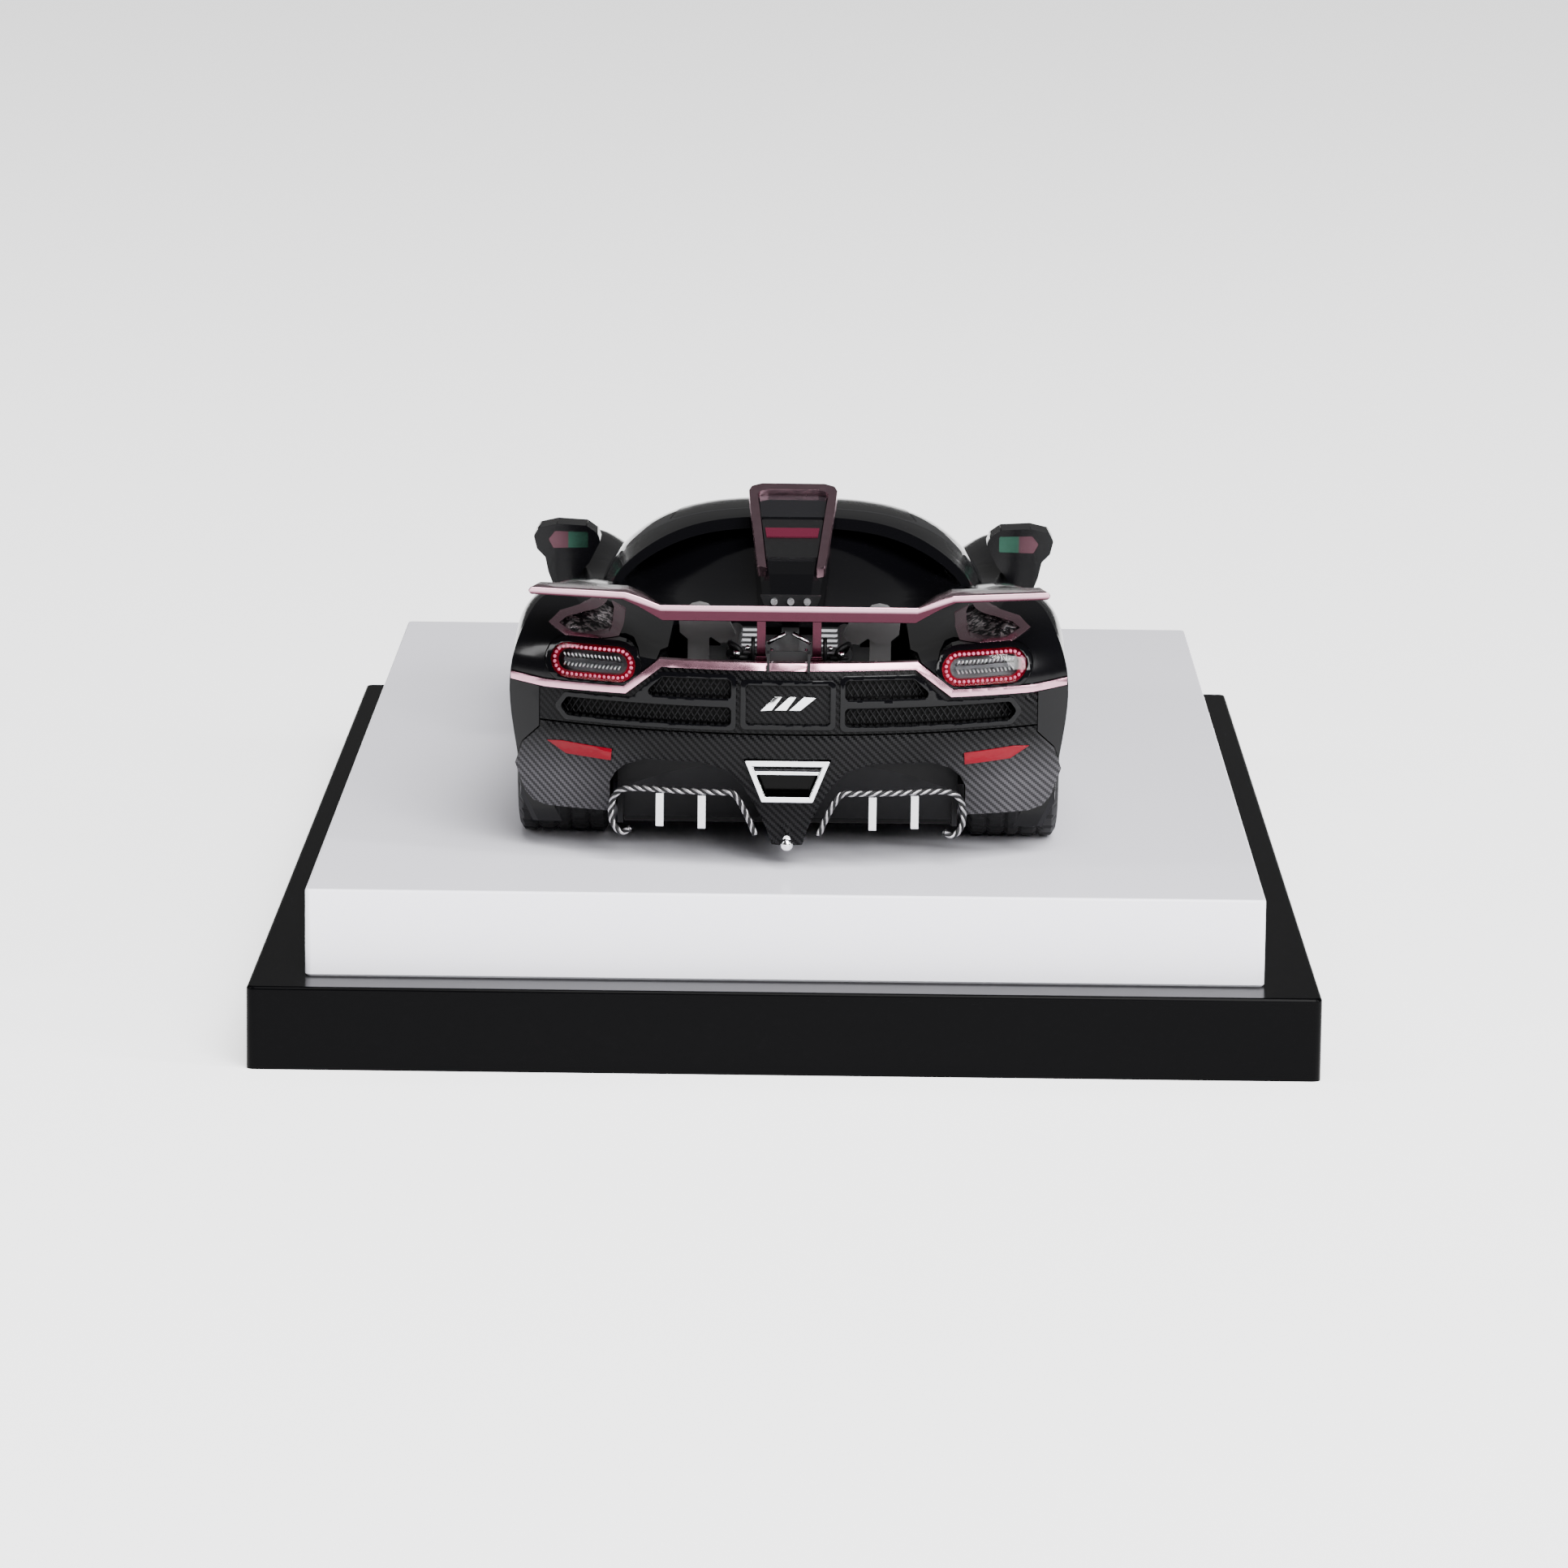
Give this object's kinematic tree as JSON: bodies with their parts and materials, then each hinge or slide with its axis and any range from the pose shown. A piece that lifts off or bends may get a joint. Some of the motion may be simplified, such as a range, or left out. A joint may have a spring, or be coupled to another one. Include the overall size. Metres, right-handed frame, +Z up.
{
  "type": "diecast collector car",
  "caption": "Small-scale mid-engined sports car with wing, roof scoop and diffuser, screwed to a two-tier acrylic display base; the wheels roll on their axles.",
  "frame": {"origin": "centre of the plinth underside", "axes": "+Z up, +Y towards the nose of the car along the base, +X to the right seen from behind the car"},
  "size_m": [0.0584, 0.103, 0.0269],
  "materials": {
    "black_acrylic": "polished black acrylic",
    "black_paint": "high gloss black lacquer",
    "black_plastic": "satin black",
    "carbon": "twill carbon weave under clear lacquer",
    "chrome": "bright",
    "clear_lens": "clear",
    "dark_metal": "dark grey metallic",
    "grey_cast": "grey heat shield",
    "mirror_glass": "blue green tint",
    "red_lens": "translucent red",
    "rim": "gloss dark grey",
    "rose_metal": "metallic rose, satin gloss",
    "seat": "grained black",
    "silver": "satin silver",
    "steel": "plain",
    "tinted_glass": "dark tint",
    "tyre": "moulded soft black",
    "white_acrylic": "polished white acrylic"
  },
  "bodies": {
    "model": {"badge_mark": "silver", "badge_panel": "carbon", "body_shell": "black_paint", "bolted_bracket": "black_plastic", "bracket_bolts": "silver", "cabin_glass": "tinted_glass", "chassis_plate": "black_plastic", "diffuser": "black_plastic", "diffuser_fins": "silver", "diffuser_hoops": "carbon", "display_plate": "white_acrylic", "engine_block": "dark_metal", "engine_cover": "black_paint", "exhaust_tip": "chrome", "front_splitter": "carbon", "grille_frames": "black_paint", "grille_meshes": "black_plastic", "headlight_inserts": "silver", "headlight_lenses": "clear_lens", "heat_shields": "grey_cast", "intake_manifolds": "silver", "interior_tub": "black_plastic", "mirror_glass": "mirror_glass", "mirror_shells": "black_paint", "mounting_screws": "steel", "nose_meshes": "black_plastic", "plinth": "black_acrylic", "rear_bumper": "carbon", "rear_fascia": "carbon", "rear_reflectors": "red_lens", "rear_window": "tinted_glass", "rear_wing": "rose_metal", "roof_frame": "rose_metal", "roof_panel": "black_paint", "roof_scoop": "black_paint", "seats": "seat", "side_meshes": "black_plastic", "side_skirts": "carbon", "steering_wheel": "black_plastic", "stop_lamp": "red_lens", "stop_lamp_housing": "dark_metal", "taillight_cores": "dark_metal", "taillight_housings": "black_paint", "taillight_lenses": "clear_lens", "taillight_rings": "red_lens", "tow_eye": "chrome", "trim_latch": "black_plastic", "trim_strip": "rose_metal", "vent_frames": "rose_metal", "vent_meshes": "dark_metal", "wing_struts": "rose_metal", "wiper": "black_plastic"},
    "rear_wheels": {"rear_axle": "steel", "rear_rims": "rim", "rear_tyres": "tyre", "rear_brake_discs": "silver"},
    "front_wheels": {"front_axle": "steel", "front_rims": "rim", "front_tyres": "tyre", "front_brake_discs": "silver"}
  },
  "joints": [
    {"name": "rear_axle_spin", "type": "hinge", "parent": "model", "child": "rear_wheels", "pos_m": [0, -0.0293, 0.01506], "axis": [1, 0, 0], "continuous": true},
    {"name": "front_axle_spin", "type": "hinge", "parent": "model", "child": "front_wheels", "pos_m": [0, 0.0123, 0.01451], "axis": [1, 0, 0], "continuous": true}
  ]
}
